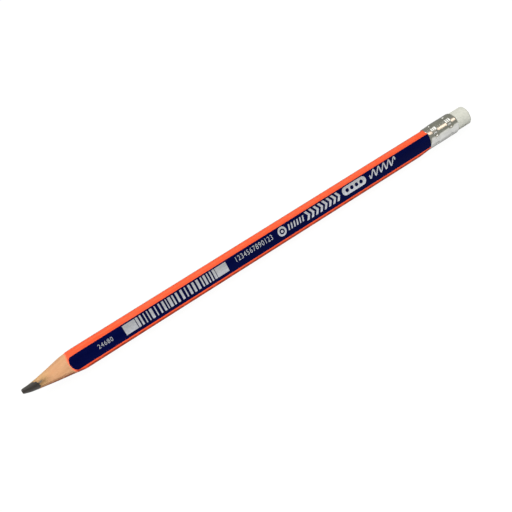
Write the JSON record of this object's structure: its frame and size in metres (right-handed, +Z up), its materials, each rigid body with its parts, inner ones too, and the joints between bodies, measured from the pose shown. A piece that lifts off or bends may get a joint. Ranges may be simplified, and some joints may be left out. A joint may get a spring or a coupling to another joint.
{
  "type": "pencil with eraser",
  "caption": "Triangular graphite pencil with rounded edges, orange lacquer, dark blue stripes, a crimped aluminium ferrule and a white eraser, sharpened to a blunt point.",
  "frame": {"origin": "on the surface that the pencil lies on, below the middle of its length, in the upright plane through its axis", "axes": "+X along the pencil towards the eraser, +Z up, away from the side that it lies on"},
  "size_m": [0.1857, 0.0082, 0.0085],
  "materials": {
    "graphite": "satin",
    "wood": "matte",
    "lacquer": "gloss",
    "stripe": "gloss",
    "ferrule": "satin",
    "eraser": "matte"
  },
  "bodies": {
    "root": {"graphite_core": "graphite", "wood_slat_upper": "wood", "wood_slat_lower": "wood", "base_lacquer": "lacquer", "stripe_back": "stripe", "stripe_front": "stripe", "stripe_bottom": "stripe", "ferrule": "ferrule", "eraser": "eraser"}
  },
  "joints": []
}
